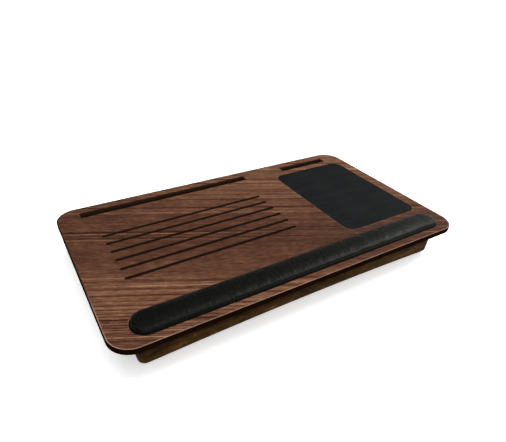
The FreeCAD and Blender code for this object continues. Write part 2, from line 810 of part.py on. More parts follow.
def make_drawer_box(side_holes, front_holes):
    """A box behind the shaped front: two grooved sides, a notched front and a tall back."""
    beyond = cell.overrun
    groove = cell.drawer_bottom_groove
    fit = cell.panel_fit
    tray = block("tray_groove", (box_inner_left - groove, box_inner_right + groove),
                 (box_inner_front - groove, box_inner_back + groove), (tray_low, tray_top))
    depth = cell.groove_depth
    for name, x, runner in (
            ("drawer_left_side", (box_left, box_inner_left), (box_left - beyond, box_left + depth)),
            ("drawer_right_side", (box_inner_right, box_right), (box_right - depth, box_right + beyond))):
        side = block(f"{name}_board", x, (front_back, box_back), (box_low, box_top))
        slide = block(f"{name}_groove", runner, (front_back - beyond, box_back + beyond),
                      (runner_low - cell.slide_gap, runner_top + cell.slide_gap))
        keep(carve(name, side, [slide, tray] + side_holes), name)
    dado = cell.divider_dado
    divider_right = box_inner_right - cell.divider_from_right
    divider = (divider_right - cell.divider_thickness, divider_right)
    slot = block("divider_dado", divider, (box_inner_front - dado, box_inner_back + dado),
                 (tray_top, box_top + cell.case_height))
    box_front = block("box_front_board", (box_inner_left, box_inner_right), (front_back, box_inner_front),
                      (box_low, box_top))
    notch_half = cell.notch_length / 2
    notch_radius = (notch_half * notch_half + cell.notch_depth * cell.notch_depth) / (cell.notch_depth * 2)
    notch = rod("box_front_notch", notch_radius, cell.box_board + beyond * 2,
                (ZERO, front_back - beyond, box_top - cell.notch_depth + notch_radius), BACK)
    keep(carve("drawer_box_front", box_front, [notch, tray, slot] + side_holes + front_holes),
         "drawer_box_front")
    back = block("drawer_back_board", (box_inner_left, box_inner_right), (box_inner_back, box_back),
                 (box_low, underside - cell.box_back_drop))
    keep(carve("drawer_back", back, [tray, slot] + side_holes), "drawer_back")
    keep(block("drawer_bottom", (box_inner_left - groove + fit, box_inner_right + groove - fit),
               (box_inner_front - groove + fit, box_inner_back + groove - fit), (tray_low, tray_top)),
         "drawer_bottom")
    joint = cell.liner_joint
    liner_top = tray_top + cell.liner_thickness
    liner = block("liner_sheet", (box_inner_left + joint, box_inner_right - joint),
                  (box_inner_front + joint, box_inner_back - joint), (tray_top, liner_top))
    keep(carve("drawer_liner", liner, [slot]), "drawer_liner")
    keep(block("drawer_divider", (divider[0] + fit, divider[1] - fit),
               (box_inner_front - dado + fit, box_inner_back + dado - fit),
               (tray_top, box_top - cell.divider_drop)), "drawer_divider")


def make_catch():
    """Magnets in the mouth of the case and steel discs in the drawer front, with their seats."""
    height = along(case_low, front_top, MIDDLE_SHARE)
    middle = inner_right + cell.side_thickness / 2
    fit = cell.screw_fit
    beyond = cell.overrun
    seats = []
    for name, radius, depth, y, turn, mouth in (
            ("catch_magnets", cell.magnet_radius, cell.magnet_depth, case_mouth, BACK, case_mouth - beyond),
            ("catch_discs", cell.disc_radius, cell.disc_thickness, front_back, FRONT, front_back + beyond)):
        pieces = [rod(f"{name}_{n}", radius, depth, (x, y, height), turn)
                  for n, x in enumerate((-middle, middle))]
        holes = [rod(f"{name}_seat_{n}", radius + fit, depth + beyond, (x, mouth, height), turn)
                 for n, x in enumerate((-middle, middle))]
        keep(group(name, pieces), name)
        seats.append(group(f"{name}_seats", holes))
    return seats


def make_dowels():
    """Wooden pins that join the back to the two sides."""
    pins, seats = [], []
    radius, length, fit = cell.dowel_radius, cell.dowel_length, cell.screw_fit
    y = inner_back + cell.back_thickness / 2
    for side, x in (("left", inner_left), ("right", inner_right)):
        for number, share in enumerate(DOWEL_SHARES):
            name = f"{side}_dowel_{number}"
            z = along(case_low, underside, share)
            start = x - length / 2
            pins.append(rod(name, radius, length, (start, y, z), RIGHT))
            seats.append(rod(f"{name}_seat", radius + fit, length + fit * 2, (start - fit, y, z), RIGHT))
    keep(group("case_dowels", pins), "case_dowels")
    return group("dowel_seats", seats)


def make_screws():
    """Every set of screws, each with the holes that it needs in what it joins."""
    cleat_x = inner_right - cell.cleat_width / 2
    cleat_ends = (case_mouth + cell.cleat_from_front, rail_front)
    cleat_holes = screw_set("cleat_screws", [
        (x, along(*cleat_ends, share), underside - cell.cleat_height)
        for x in (-cleat_x, cleat_x) for share in CLEAT_SCREW_SHARES],
        UP, cell.cleat_height + cell.screw_bite)
    rail_x = (inner_left, inner_right)
    rail_y = rail_front + cell.rail_front_wall / 2
    rail_holes = screw_set("rail_screws", [
        (along(*rail_x, share), rail_y, rail_low) for share in RAIL_SCREW_SHARES],
        UP, cell.rail_height + cell.screw_bite)
    stop_holes = screw_set("stop_screws", [
        (cell.stop_from_middle * side, stop_back - cell.stop_width / 2, stop_low) for side in (-1, 1)],
        UP, cell.stop_height + cell.screw_bite)
    edge = cell.bottom_rebate / 2
    sill_ends = (case_mouth, inner_back)
    starts = [(x, along(*sill_ends, share), case_low)
              for x in (inner_left - edge, inner_right + edge) for share in BOTTOM_SCREW_SHARES]
    bottom_holes = screw_set("bottom_screws", starts, UP, cell.bottom_thickness + cell.wood_screw_bite)
    runner_z = runner_low + cell.runner_height / 2
    runner_tip = box_right - cell.runner_engagement
    runner_ends = (case_mouth + cell.runner_setback, rail_front)
    runner_reach = inner_right - runner_tip + cell.wood_screw_bite
    runner_holes = []
    for side, x, turn in (("left", -runner_tip, LEFT), ("right", runner_tip, RIGHT)):
        runner_holes.append(screw_set(f"{side}_runner_screws", [
            (x, along(*runner_ends, share), runner_z) for share in RUNNER_SCREW_SHARES], turn, runner_reach))
    box_holes = []
    heights = (along(box_low, runner_low, BOX_LOW_SCREW_SHARE),
               along(runner_top, box_top, BOX_HIGH_SCREW_SHARE))
    ends = (front_back + cell.box_board / 2, box_back - cell.box_board / 2)
    for side, x, turn in (("left", box_left, RIGHT), ("right", box_right, LEFT)):
        box_holes.append(screw_set(f"{side}_box_screws", [(x, y, z) for y in ends for z in heights],
                                   turn, cell.box_board + cell.wood_screw_bite))
    front_z = along(tray_top, box_top, MIDDLE_SHARE)
    front_holes = screw_set("front_screws", [
        (along(box_inner_left, box_inner_right, share), box_inner_front, front_z)
        for share in FRONT_SCREW_SHARES], FRONT, cell.box_board + cell.wood_screw_bite)
    return cleat_holes, rail_holes, stop_holes, bottom_holes, runner_holes, box_holes, front_holes


def build():
    cleat_holes, rail_holes, stop_holes, bottom_holes, runner_holes, box_holes, front_holes = make_screws()
    magnet_seats, disc_seats = make_catch()
    dowel_seats = make_dowels()
    make_top_board([cleat_holes, rail_holes, stop_holes])
    make_top_veneer()
    make_edge_band()
    make_mouse_pad()
    make_wrist_rest()
    make_device_rail([rail_holes])
    form = case_form()
    make_case(form, runner_holes + [bottom_holes, dowel_seats], [dowel_seats], [bottom_holes], magnet_seats)
    make_feet()
    make_cleats([cleat_holes])
    make_runners(runner_holes)
    make_stops([stop_holes])
    make_drawer_front([front_holes], disc_seats)
    make_drawer_box(box_holes, [front_holes])
    doc.recompute()


def export():
    """Checks every object and every node's shape, then writes one STEP file for each node."""
    for thing in doc.Objects:
        if "Invalid" in thing.State or "Error" in thing.State:
            raise RuntimeError(f"{thing.Label} did not build: {thing.State}")
    for node in nodes:
        if node.Shape.isNull() or not node.Shape.isValid():
            raise RuntimeError(f"{node.Label} has no valid shape")
    os.makedirs("parts", exist_ok=True)
    for node in nodes:
        node.Shape.exportStep(f"parts/{node.Label}.step")
        box = node.Shape.BoundBox
        print(f"{node.Label}: {len(node.Shape.Solids)} solid, {node.Shape.Volume:.0f} mm3, "
              f"{box.XLength:.1f} x {box.YLength:.1f} x {box.ZLength:.1f} mm")
    print(f"{len(nodes)} nodes, and the drawer slides out by {drawer_travel.value:.1f} mm")


build()
export()
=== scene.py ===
# %% [markdown]
# # A low desk stand with a drawer, dressed in Blender
#
# The construction comes from CAD: 42 named pieces on two bodies, the stand and its drawer. This lesson
# leaves their sizes and places alone. It gives each piece the finish of the real one, and remakes the
# soft pieces, the screws and the feet as finer meshes, because a CAD solid can't show how leatherette
# swells over foam or what a screw head looks like.

import json
import math

import bmesh
import bpy
from mathutils import Matrix, Vector, noise


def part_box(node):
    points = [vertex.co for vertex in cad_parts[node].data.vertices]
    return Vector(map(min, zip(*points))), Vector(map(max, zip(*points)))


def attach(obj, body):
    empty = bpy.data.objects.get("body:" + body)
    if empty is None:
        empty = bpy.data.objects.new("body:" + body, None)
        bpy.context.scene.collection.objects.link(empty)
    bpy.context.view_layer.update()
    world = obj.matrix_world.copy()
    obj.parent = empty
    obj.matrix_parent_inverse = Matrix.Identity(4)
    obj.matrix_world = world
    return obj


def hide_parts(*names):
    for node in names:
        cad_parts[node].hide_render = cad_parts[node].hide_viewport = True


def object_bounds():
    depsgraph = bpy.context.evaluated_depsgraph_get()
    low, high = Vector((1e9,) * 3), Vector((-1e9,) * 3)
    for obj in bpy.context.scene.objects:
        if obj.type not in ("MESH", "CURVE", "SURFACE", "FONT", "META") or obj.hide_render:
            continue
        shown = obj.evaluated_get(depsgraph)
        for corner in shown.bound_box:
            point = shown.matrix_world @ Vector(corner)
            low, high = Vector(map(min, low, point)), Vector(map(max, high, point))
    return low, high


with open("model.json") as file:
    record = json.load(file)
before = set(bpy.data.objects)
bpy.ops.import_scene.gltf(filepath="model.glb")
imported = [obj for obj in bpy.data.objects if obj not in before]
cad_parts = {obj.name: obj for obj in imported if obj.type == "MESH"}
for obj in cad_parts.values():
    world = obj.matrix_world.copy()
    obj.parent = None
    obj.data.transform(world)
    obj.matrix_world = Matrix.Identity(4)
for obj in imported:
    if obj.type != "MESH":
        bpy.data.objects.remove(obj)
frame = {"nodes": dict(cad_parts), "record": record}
cad_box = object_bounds()
record = frame["record"]
slot_of = {part["node"]: part["material_slot"] for part in record["subparts"]}
body_of = {node: body for body, members in record["behaviour"]["bodies"].items() for node in members}

# %% [markdown]
# ## The camera
#
# The photograph was taken from the front left, from above, with a fairly wide lens and the camera held a
# little askew. The board's four sides and round corners gave its place: with these values the outline of
# the board falls on the photographed one. The turn is written as three angles: round the vertical, up
# from looking straight down at the floor, and askew.

# %% Place the camera
CAMERA_PLACE = Vector((-0.3502, -0.5294, 0.4530))
TURN_ROUND = math.radians(-32.62115)
TILT_UP = math.radians(58.03319)
HELD_ASKEW = math.radians(2.72203)
SENSOR_WIDTH, LENS = 36, 30.987
NEAREST_SEEN = 0.01

camera = bpy.data.objects.new("camera", bpy.data.cameras.new("camera"))
bpy.context.collection.objects.link(camera)
camera.data.sensor_width = SENSOR_WIDTH
camera.data.lens = LENS
camera.data.clip_start = NEAREST_SEEN
camera.matrix_world = (Matrix.Translation(CAMERA_PLACE) @ Matrix.Rotation(TURN_ROUND, 4, "Z")
                       @ Matrix.Rotation(TILT_UP, 4, "X") @ Matrix.Rotation(HELD_ASKEW, 4, "Z"))
bpy.context.scene.camera = camera
print("the camera looks along", camera.matrix_world.to_quaternion() @ Vector((0, 0, -1)))

# %% [markdown]
# ## Writing finishes as sums
#
# A finish is a network of nodes, and most of it is arithmetic on patterns: more of this streak, less of
# that pore. Field wraps one socket, so that `0.4 + 0.2 * streaks` adds the Math nodes by itself. Every
# node comes from Network.node, which takes its type, its settings and then its sockets.

# %% Field
class Field:
    """A value that varies from place to place: a socket, on which plain arithmetic adds Math nodes."""

    def __init__(self, network, socket):
        self.network = network
        self.socket = socket

    def __add__(self, other):
        return self.network.calculate("ADD", self, other)

    def __radd__(self, other):
        return self.network.calculate("ADD", other, self)

    def __sub__(self, other):
        return self.network.calculate("SUBTRACT", self, other)

    def __rsub__(self, other):
        return self.network.calculate("SUBTRACT", other, self)

    def __mul__(self, other):
        return self.network.calculate("MULTIPLY", self, other)

    def __rmul__(self, other):
        return self.network.calculate("MULTIPLY", other, self)

    def __truediv__(self, other):
        return self.network.calculate("DIVIDE", self, other)

    def __rtruediv__(self, other):
        return self.network.calculate("DIVIDE", other, self)


# %% Colours
def srgb(red, green, blue):
    """A colour as a picture editor gives it, from 0 to 255, as the shader wants it."""
    def linear(part):
        part = part / 255
        return part / 12.92 if part <= 0.04045 else ((part + 0.055) / 1.055) ** 2.4
    return (linear(red), linear(green), linear(blue), 1)


def fill_ramp(ramp, stops):
    """Gives a colour ramp its stops, as (place, colour) pairs."""
    while len(ramp.elements) < len(stops):
        ramp.elements.new(1)
    for element, (place, colour) in zip(ramp.elements, stops):
        element.position = place
        element.color = colour


# %% Network
class Network:
    """The nodes of a material or a sky."""

    def __init__(self, tree):
        self.nodes, self.links = tree.nodes, tree.links
        self.nodes.clear()

    def connect(self, socket, thing):
        """Links a Field to a socket, or sets the socket to a plain value."""
        if isinstance(thing, Field):
            self.links.new(thing.socket, socket)
        else:
            socket.default_value = thing

    def node(self, kind, settings=None, sockets=None, out=0):
        """A node: its type, its settings, then the values or links of its sockets, and the output or
        outputs that are given back."""
        made = self.nodes.new(kind)
        for name, value in (settings or {}).items():
            if name == "stops":
                fill_ramp(made.color_ramp, value)
            else:
                setattr(made, name, value)
        for key, value in (sockets or {}).items():
            self.connect(made.inputs[key], value)
        if isinstance(out, tuple):
            return [Field(self, made.outputs[name]) for name in out]
        return None if out is None else Field(self, made.outputs[out])

    def calculate(self, operation, *values):
        """One step of arithmetic with numbers."""
        return self.node("ShaderNodeMath", {"operation": operation}, dict(enumerate(values)))

    def calculate_vector(self, operation, *values, out=0):
        """One step of arithmetic with vectors."""
        return self.node("ShaderNodeVectorMath", {"operation": operation}, dict(enumerate(values)), out)

    def rise(self, value, low, high):
        """0 below low, 1 above high, and a smooth rise between them."""
        return self.node("ShaderNodeMapRange", {"interpolation_type": "SMOOTHSTEP"},
                         {"Value": value, "From Min": low, "From Max": high})

    def height_of(self, vector):
        """The upward part of a place or a direction."""
        return self.node("ShaderNodeSeparateXYZ", None, {0: vector}, out="Z")

    def depth_of(self, vector):
        """The part of a place or a direction that leads from the front to the back."""
        return self.node("ShaderNodeSeparateXYZ", None, {0: vector}, out="Y")


# %% Finish
class Finish(Network):
    """A material in the making: patterns on the piece's own coordinates, in metres."""

    def __init__(self, name, **fixed):
        self.material = bpy.data.materials.new(name)
        self.material.use_nodes = True
        super().__init__(self.material.node_tree)
        surface = self.node("ShaderNodeBsdfPrincipled")
        self.shader = surface.socket.node
        self.node("ShaderNodeOutputMaterial", None, {"Surface": surface}, out=None)
        self.spot, self.facing = self.node("ShaderNodeTexCoord", out=("Object", "Normal"))
        self.set(**fixed)

    def set(self, **sockets):
        """Sets sockets of the shader by name, as in base_color=..., and gives the material."""
        for name, value in sockets.items():
            self.connect(self.shader.inputs[name.replace("_", " ").title().replace("Ior", "IOR")], value)
        return self.material

    def stretched(self, size, turn=0):
        """The piece's coordinates counted in cells of a size, in a frame turned about the vertical."""
        return self.node("ShaderNodeMapping", {"vector_type": "TEXTURE"},
                         {"Vector": self.spot, "Rotation": (0, 0, turn), "Scale": size})

    def cloud(self, size, turn=0, detail=2, roughness=0.5, shift=0):
        """Noise from 0 to 1 whose blobs have a size: long ones make grain, round ones make mottling."""
        where = self.calculate_vector("ADD", self.stretched(size, turn), (shift, shift, shift))
        return self.node("ShaderNodeTexNoise", {"noise_dimensions": "3D"},
                         {"Vector": where, "Scale": 1, "Detail": detail, "Roughness": roughness})

    def ramp(self, value, *stops):
        """A colour for each value, from (place, colour) stops."""
        return self.node("ShaderNodeValToRGB", {"stops": stops}, {0: value})

    def mix(self, mask, low, high):
        """One colour where the mask is 0 and the other where it is 1."""
        return self.node("ShaderNodeMix", {"data_type": "RGBA"}, {0: mask, 6: low, 7: high}, out=2)

    def outside(self, low, high, corner):
        """How far a place lies outside a rectangle with round corners, from above: below 0 inside it."""
        middle = [(start + end) / 2 for start, end in zip(low, high)]
        hub = ((high[0] - low[0]) / 2 - corner, (high[1] - low[1]) / 2 - corner, 1)
        place = self.calculate_vector("ABSOLUTE", self.calculate_vector("SUBTRACT", self.spot, middle))
        past_hub = self.calculate_vector("MAXIMUM", self.calculate_vector("SUBTRACT", place, hub), (0, 0, 0))
        return self.calculate_vector("LENGTH", past_hub, out="Value") - corner

    def relief(self, height, depth, edge_round=None):
        """Fine relief, on edges that are softened by so much."""
        sockets = {"Height": height, "Distance": depth}
        if edge_round:
            sockets["Normal"] = self.node("ShaderNodeBevel", {"samples": 4}, {"Radius": edge_round})
        return self.node("ShaderNodeBump", None, sockets)


finishes = {}

# %% [markdown]
# ## Light
#
# The photograph has the bright light of a catalogue picture, with the strongest lamp high on the right.
# A soft sun lights the floor and the board alike, wherever they are, and two lamps help it from the front
# left and from above. A low lamp at the right draws the line of light along the wrist rest's front
# shoulder. The sky is bright near the horizon, where it closes the picture, and overhead, like a softbox.
# Between them, where the board mirrors it, a bright sky would lie over the dark leatherette and the
# walnut as a grey veil, so there it is dim.

# %% Sun, lamps and sky
MIDDLE = Vector((0, 0, 0.05))
SUN_FROM = Vector((0.74, 0.16, 0.66))
SUN_STRENGTH = 1.7
SUN_SPREAD = math.radians(30)
SUN_COLOUR = (1, 0.975, 0.94)
SKY_AT_HORIZON = 0.98
SKY_DIMS, SKY_DIMMED_BY = (0.1, 0.35), 0.84
SOFTBOX_BEGINS, SOFTBOX_ADDS = (0.76, 0.95), 1.5


def hang(holder):
    """Adds a lamp to the scene, turned so that it shines at the middle of the stand."""
    holder.rotation_mode = "QUATERNION"
    holder.rotation_quaternion = (MIDDLE - holder.location).to_track_quat("-Z", "Y")
    bpy.context.collection.objects.link(holder)


def area_lamp(name, place, width, watts):
    lamp = bpy.data.lights.new(name, "AREA")
    lamp.size = width
    lamp.energy = watts
    holder = bpy.data.objects.new(name, lamp)
    holder.location = place
    hang(holder)


sun = bpy.data.lights.new("sun", "SUN")
sun.energy = SUN_STRENGTH
sun.angle = SUN_SPREAD
sun.color = SUN_COLOUR
sun_holder = bpy.data.objects.new("sun", sun)
sun_holder.location = MIDDLE + SUN_FROM
hang(sun_holder)
area_lamp("front_lamp", (-0.9, -1.6, 1.5), width=0.9, watts=9)
area_lamp("top_lamp", (0.9, -0.5, 1.7), width=0.5, watts=5)
area_lamp("low_lamp", (1.35, -1.3, 0.3), width=0.4, watts=13)

world = bpy.data.worlds.new("sky")
world.use_nodes = True
sky = Network(world.node_tree)
upwards = sky.height_of(sky.node("ShaderNodeTexCoord", out="Generated"))
overhead = sky.rise(upwards, *SOFTBOX_BEGINS)
dim = sky.rise(upwards, *SKY_DIMS) - overhead
brightness = SKY_AT_HORIZON + SOFTBOX_ADDS * overhead - SKY_DIMMED_BY * dim
background = sky.node("ShaderNodeBackground", None, {"Color": (1, 1, 1, 1), "Strength": brightness})
sky.node("ShaderNodeOutputWorld", None, {"Surface": background}, out=None)
bpy.context.scene.world = world
bpy.context.scene.view_settings.view_transform = "Standard"

# %% [markdown]
# ## Walnut veneer
#
# The board's skin is a thin sheet of walnut, laid so that its grain slants across the board. Towards the
# front, its years show as lines of darker late wood. They lie 11 mm apart at first and crowd together to
# the front, which an exponential of the place across the grain gives. Then comes a calm part, and behind
# it single streaks, both dark and light. Tissue shows as much finer streaks and pores as short dark
# dashes, and each of these is noise in long thin cells of its own size. A short table says how light the
# sheet is from its front to its back. Where a slot or a recess cuts the sheet, the cut wood is darker,
# which the piece's own normal can tell: partly the cut wood's own colour, partly painted shade inside the
# slots. Around the mouse pad and behind the wrist rest, a painted highlight draws the arris pale, where it
# catches the light.

# %% Lines, streaks and the painted highlight on the arris
GRAIN_SLANT = math.radians(-26)
LAST_WIDE_RING = -0.186
WIDE_RING = 0.011
RINGS_NARROW_BY = 17.9
RINGS_FADE = (-0.172, -0.14)
CALM_BEGINS, CALM_ENDS = (-0.15, -0.13), (-0.075, -0.05)
PAD_CORNER = 0.017
ARRIS_BEGINS, ARRIS_ENDS = (-0.002, -0.001), (0.0009, 0.0013)
ARRIS_SHOWS = 0.7
REST_HALVES_BLEND = 0.005


def year_lines(finish, across):
    """Late and early wood of each year, in lines that crowd together to the front and fade out behind."""
    growth = finish.calculate("EXPONENT", RINGS_NARROW_BY * (LAST_WIDE_RING - across))
    ring = finish.calculate("FRACT", (growth - 1) / (RINGS_NARROW_BY * WIDE_RING))
    strength = finish.rise(finish.cloud((0.5, 0.009, 1), GRAIN_SLANT, shift=7.7), 0.25, 0.6)
    shown = 1 - finish.rise(across, *RINGS_FADE)
    late = (finish.rise(ring, 0.62, 0.86) - finish.rise(ring, 0.93, 1)) * (0.35 + 0.65 * strength) * shown
    early = (finish.rise(ring, 0.0, 0.12) - finish.rise(ring, 0.2, 0.5)) * shown
    return late, early


def single_streaks(finish, across):
    """Dark and light streaks between -1 and 1, which leave the calm part of the sheet nearly alone."""
    calm = 1 - 0.9 * finish.rise(across, *CALM_BEGINS) * (1 - finish.rise(across, *CALM_ENDS))
    line = finish.cloud((1.2, 0.0058, 1), GRAIN_SLANT, detail=2, roughness=0.55, shift=9.1)
    return (finish.rise(line, 0.54, 0.78) + finish.rise(line, 0.22, 0.46) - 1) * calm


def arris_highlight(finish, wood):
    """The wood with a painted highlight on its arris around the mouse pad and behind the wrist rest."""
    pad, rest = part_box("mouse_pad"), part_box("wrist_rest_cover")
    rest_middle = (rest[0][1] + rest[1][1]) / 2
    behind_rest = finish.rise(finish.depth_of(finish.spot), rest_middle - REST_HALVES_BLEND,
                              rest_middle + REST_HALVES_BLEND)
    for gap, shown in ((finish.outside(*pad, PAD_CORNER), ARRIS_SHOWS),
                       (finish.outside(*rest, rest[1][1] - rest_middle), ARRIS_SHOWS * behind_rest)):
        # Painted highlight: the arris is drawn pale where it would catch the light.
        lit_arris = shown * (1 - finish.rise(gap, *ARRIS_ENDS)) * finish.rise(gap, *ARRIS_BEGINS)
        wood = finish.mix(lit_arris, wood, srgb(160, 124, 90))
    return wood


# %% Walnut
SHEET_LOW, SHEET_DEEP = -0.28, 0.56
SHEET_ZONES = ((0.0, 0.42), (0.12, 0.54), (0.18, 0.6), (0.22, 0.53), (0.3, 0.38), (0.44, 0.33),
               (0.52, 0.38), (0.62, 0.47), (0.75, 0.52), (1.0, 0.6))


def grey(value):
    return (value, value, value, 1)


def walnut():
    finish = Finish("walnut_veneer", specular_ior_level=0.04)
    wander = finish.cloud((0.4, 0.05, 1), GRAIN_SLANT, detail=1)
    across = finish.depth_of(finish.stretched((1, 1, 1), GRAIN_SLANT)) + 0.006 * (wander - 0.5)
    late, early = year_lines(finish, across)
    tissue = finish.cloud((0.07, 0.0011, 1), GRAIN_SLANT, detail=3, roughness=0.6)
    pore = finish.rise(finish.cloud((0.009, 0.00042, 1), GRAIN_SLANT, detail=1, shift=1.7), 0.6, 0.72)
    fleck = finish.cloud((0.011, 0.0022, 1), GRAIN_SLANT, detail=2, shift=5.3)
    mottle = finish.cloud((0.06, 0.02, 1), GRAIN_SLANT, detail=2, shift=2.6)
    stops = [(place, grey(tone)) for place, tone in SHEET_ZONES]
    zone = finish.ramp((across - SHEET_LOW) / SHEET_DEEP, *stops)
    tone = (finish.node("ShaderNodeSeparateColor", None, {0: zone}) + 0.5 * (tissue - 0.5)
            + 0.6 * (fleck - 0.5) + 0.3 * (mottle - 0.5) - 0.3 * late + 0.08 * early
            + 0.46 * single_streaks(finish, across))
    wood = finish.ramp(tone, (0.0, srgb(30, 15, 8)), (0.35, srgb(72, 44, 31)), (0.62, srgb(106, 72, 53)),
                       (1.0, srgb(156, 116, 90)))
    wood = arris_highlight(finish, finish.mix(0.5 * pore, wood, srgb(36, 22, 16)))
    upright = finish.height_of(finish.facing)
    # The cut faces are darker: partly the cut wood's own colour, partly painted shade inside the slots.
    wood = finish.mix(finish.rise(upright, 0.4, 0.9), srgb(28, 14, 6), wood)
    return finish.set(base_color=wood, roughness=0.5 + 0.14 * tissue + 0.15 * pore,
                      normal=finish.relief(0.5 * tissue - pore - 0.3 * late, 0.00012, 0.0003))


finishes["walnut_veneer"] = walnut()
print("walnut:", len(finishes["walnut_veneer"].node_tree.nodes), "nodes")

# %% [markdown]
# ## Other woods
#
# The case and the drawer front are stained so dark that only pores and a faint mottling show. Stained
# pieces are painted darker higher up, as painted shade under the overhanging board. Inside, the drawer and
# the runners are of pale lacquered beech with its small brown flecks. Both have their grain along each
# piece, so the finish is made once for each direction. The core of the board and the panels are pressed
# fibres, without a direction.

# %% Stained wood, beech, board and hardboard
PAINTED_SHADE_RISES = (0.014, 0.03)


def grain_size(along, length, width):
    """Cells drawn out along one axis of the piece."""
    return tuple(length if axis == along else width for axis in "xyz")


def stained_wood(along):
    finish = Finish(f"stained_wood_{along}", specular_ior_level=0.015)
    streaks = finish.cloud(grain_size(along, 0.11, 0.0035), detail=4, roughness=0.6)
    patches = finish.cloud(grain_size(along, 0.035, 0.012), detail=3, shift=4.2)
    pore = finish.rise(finish.cloud(grain_size(along, 0.007, 0.00045), detail=1, shift=1.3), 0.6, 0.72)
    blotch = finish.cloud(grain_size(along, 0.014, 0.007), detail=3, roughness=0.6, shift=6.6)
    # Painted shade: the wood is painted darker from 14 to 30 mm up and above, where the board overhangs it.
    shade = finish.rise(finish.height_of(finish.spot), *PAINTED_SHADE_RISES)
    tone = 0.5 + 0.5 * (streaks - 0.5) + 0.8 * (patches - 0.5) + 0.9 * (blotch - 0.5) - 0.28 * shade
    wood = finish.ramp(tone, (0.1, srgb(18, 9, 2)), (0.5, srgb(52, 34, 11)), (0.9, srgb(88, 60, 27)))
    wood = finish.mix(0.6 * pore, wood, srgb(20, 12, 6))
    return finish.set(base_color=wood, roughness=0.4 + 0.2 * patches + 0.15 * pore,
                      normal=finish.relief(0.5 * streaks - pore, 0.00012, 0.0007))


def beech(along):
    finish = Finish(f"beech_{along}", specular_ior_level=0.4, coat_roughness=0.25)
    streaks = finish.cloud(grain_size(along, 0.2, 0.006), detail=4, roughness=0.55)
    fleck = finish.rise(finish.cloud(grain_size(along, 0.0026, 0.0005), detail=1, shift=2.9), 0.62, 0.7)
    tone = 0.5 + 0.9 * (streaks - 0.5)
    wood = finish.ramp(tone, (0.2, srgb(184, 142, 98)), (0.5, srgb(207, 168, 122)),
                       (0.85, srgb(224, 190, 146)))
    wood = finish.mix(0.5 * fleck, wood, srgb(140, 96, 60))
    return finish.set(base_color=wood, roughness=0.38 + 0.1 * streaks, coat_weight=0.15 + 0.1 * streaks,
                      normal=finish.relief(streaks - 0.5 * fleck, 0.00008, 0.0006))


def pressed_board(name, dark, light, fibre, roughness):
    finish = Finish(name, specular_ior_level=0.3)
    speck = finish.cloud((fibre * 3, fibre, fibre), detail=3, roughness=0.7)
    patches = finish.cloud((0.03, 0.03, 0.03), detail=2, shift=6.1)
    wood = finish.mix(finish.rise(0.8 * speck + 0.2 * patches, 0.3, 0.72), dark, light)
    return finish.set(base_color=wood, roughness=roughness + 0.15 * speck,
                      normal=finish.relief(speck, 0.0001, 0.0003))


for axis in "xyz":
    finishes[f"stained_wood_{axis}"] = stained_wood(axis)
    finishes[f"pale_wood_{axis}"] = beech(axis)
finishes["board_core"] = pressed_board("board_core", srgb(38, 19, 7), srgb(62, 35, 16), 0.0006, 0.6)
finishes["hardboard"] = pressed_board("hardboard", srgb(74, 50, 32), srgb(112, 80, 54), 0.0009, 0.45)
print("finishes so far:", sorted(finishes))

# %% [markdown]
# ## The edge band
#
# The band around the board is black at its side, its bevel and the outer part of its flat top. On the rest
# of the top, next to the veneer, a painted highlight draws a thin pale line along the front of the board
# and round its two front corners, where the edge catches the light. Further back the painted line turns as
# brown as the veneer. It is one material: the place's distance from the board's outline tells which part
# it is.

# %% Edge band
BOARD_CORNER = 0.0335
HIGHLIGHT_FROM_EDGE = (0.0009, 0.0012)
FACES_UP = (0.88, 0.97)
HIGHLIGHT_BROWNS_BEHIND = (-0.1, -0.03)


def edge_band():
    finish = Finish("edge_band", specular_ior_level=0)
    inset = 0 - finish.outside(*cad_box, BOARD_CORNER)
    # Painted highlight: a thin pale line on the band's top next to the veneer, browning towards the back.
    painted_highlight = finish.rise(finish.height_of(finish.facing), *FACES_UP) * finish.rise(inset, *HIGHLIGHT_FROM_EDGE)
    wear_and_glint = finish.cloud((0.02, 0.02, 0.02), detail=4, roughness=0.6)
    scuff = finish.cloud((0.004, 0.004, 0.0006), detail=3, shift=2.2)
    side = finish.mix(scuff, srgb(10, 4, 1), srgb(21, 9, 3))
    pale = finish.mix(wear_and_glint, srgb(116, 92, 77), srgb(150, 124, 108))
    line = finish.mix(finish.rise(finish.depth_of(finish.spot), *HIGHLIGHT_BROWNS_BEHIND), pale, srgb(66, 44, 32))
    return finish.set(base_color=finish.mix(painted_highlight, side, line), roughness=0.36 + 0.2 * wear_and_glint,
                      normal=finish.relief(scuff, 0.00006, 0.0002))


finishes["edge_band"] = edge_band()
print("edge band:", len(finishes["edge_band"].node_tree.nodes), "nodes")

# %% [markdown]
# ## Leatherette
#
# Leatherette is a coated cloth with a pressed grain: tiny round pebbles with creases between them, which
# is a Voronoi pattern. On the mouse pad it lies flat and has the finest grain. Over the foam of the wrist
# rest it is softer, and fine creases run across the rest where it bends over the shoulders. Low down,
# where it is tucked under, it is duller.

# %% Two leatherettes
TUCKED_BELOW = (0.0625, 0.0645)


